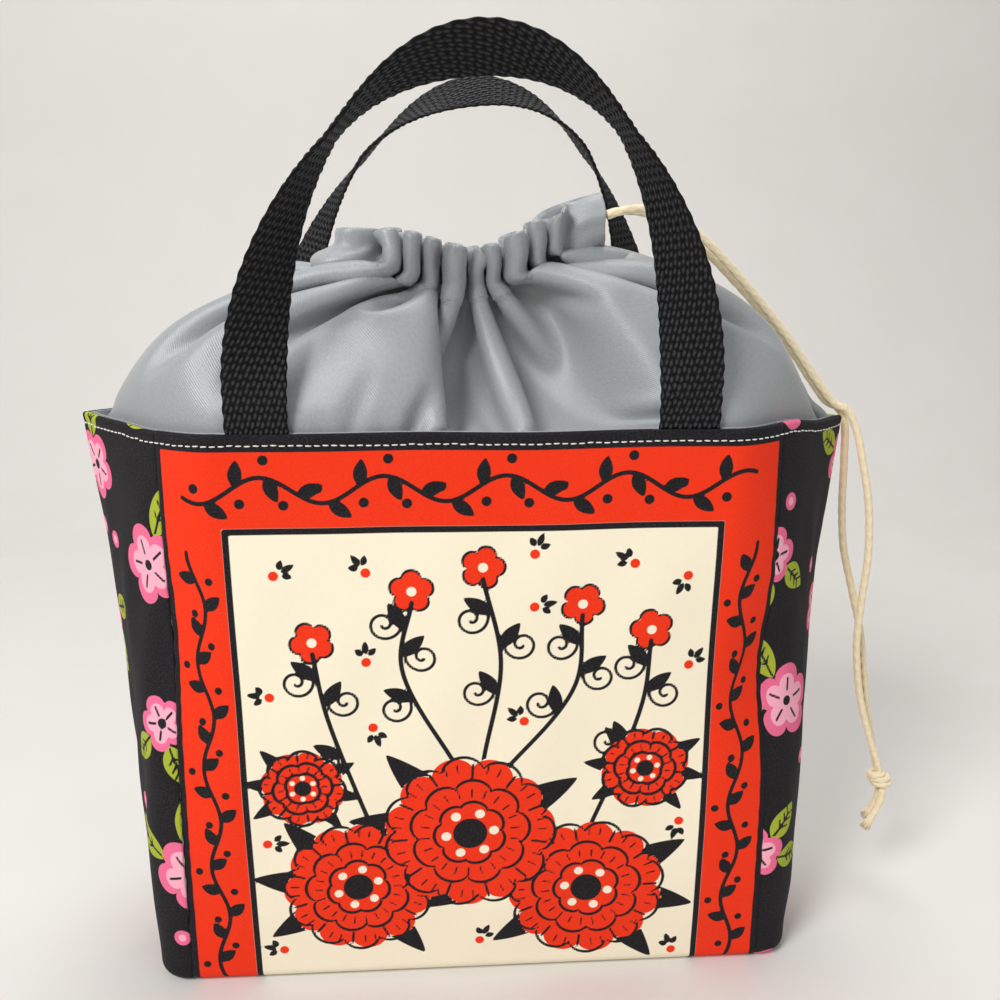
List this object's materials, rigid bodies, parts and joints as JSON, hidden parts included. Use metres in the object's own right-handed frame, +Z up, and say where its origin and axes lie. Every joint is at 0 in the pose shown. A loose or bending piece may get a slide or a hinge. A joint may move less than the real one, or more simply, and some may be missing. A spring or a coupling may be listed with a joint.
{
  "type": "mini tote bag",
  "caption": "Small boxy cloth tote with webbing handles and a gathered drawstring cover that closes over its mouth, lined and stiffened so that it stands by itself.",
  "frame": {"origin": "middle of the base, on the surface that the bag stands on", "axes": "+Z up, +X to the right of a person who faces the front, -Y out of the front panel"},
  "size_m": [0.3114, 0.129, 0.3293],
  "materials": {
    "printed_cloth": "printed plain-weave cotton, vermilion border round a cream field",
    "black_cloth": "black plain-weave cotton, the sides with a small print",
    "fleece": "unbleached bonded stiffening",
    "grey_cloth": "blue-grey sheeting with a soft sheen",
    "webbing": "coarse black webbing with a dull shine",
    "cord": "natural cotton cord"
  },
  "bodies": {
    "bag": {"front_panel": "printed_cloth", "front_stiffener": "fleece", "front_lining": "grey_cloth", "right_side_panel": "black_cloth", "right_side_stiffener": "fleece", "right_side_lining": "grey_cloth", "back_panel": "black_cloth", "back_stiffener": "fleece", "back_lining": "grey_cloth", "left_side_panel": "black_cloth", "left_side_stiffener": "fleece", "left_side_lining": "grey_cloth", "base_panel": "black_cloth", "base_stiffener": "fleece", "base_lining": "grey_cloth", "front_handle_left_end": "webbing", "front_handle_right_end": "webbing", "back_handle_left_end": "webbing", "back_handle_right_end": "webbing", "cover_front": "grey_cloth", "cover_back": "grey_cloth", "upper_strand_front": "cord", "upper_strand_back": "cord"},
    "front_handle": {"front_handle": "webbing"},
    "back_handle": {"back_handle": "webbing"},
    "collar": {"drawstring_channel": "grey_cloth", "drawstring_in_channel": "cord"},
    "cord_tail": {"lower_strand_front": "cord", "lower_strand_back": "cord", "cord_knot": "cord", "cord_end_front": "cord", "cord_end_back": "cord"}
  },
  "joints": [
    {"name": "front_handle_fold", "type": "hinge", "parent": "bag", "child": "front_handle", "pos_m": [0, -0.04415, 0.214], "axis": [1, 0, 0], "range_deg": [-22, 130], "stiffness_Nm_per_rad": 0.03},
    {"name": "back_handle_fold", "type": "hinge", "parent": "bag", "child": "back_handle", "pos_m": [0, 0.04415, 0.214], "axis": [-1, 0, 0], "range_deg": [-22, 130], "stiffness_Nm_per_rad": 0.03},
    {"name": "cover_press", "type": "slide", "parent": "bag", "child": "collar", "axis": [0, 0, -1], "range_m": [0, 0.03], "deforming": ["cover_front", "cover_back", "upper_strand_front", "upper_strand_back"]},
    {"name": "cord_swing", "type": "hinge", "parent": "bag", "child": "cord_tail", "pos_m": [0.1397, 0.0028, 0.2078], "axis": [0, -1, 0], "range_deg": [0, 100]}
  ]
}
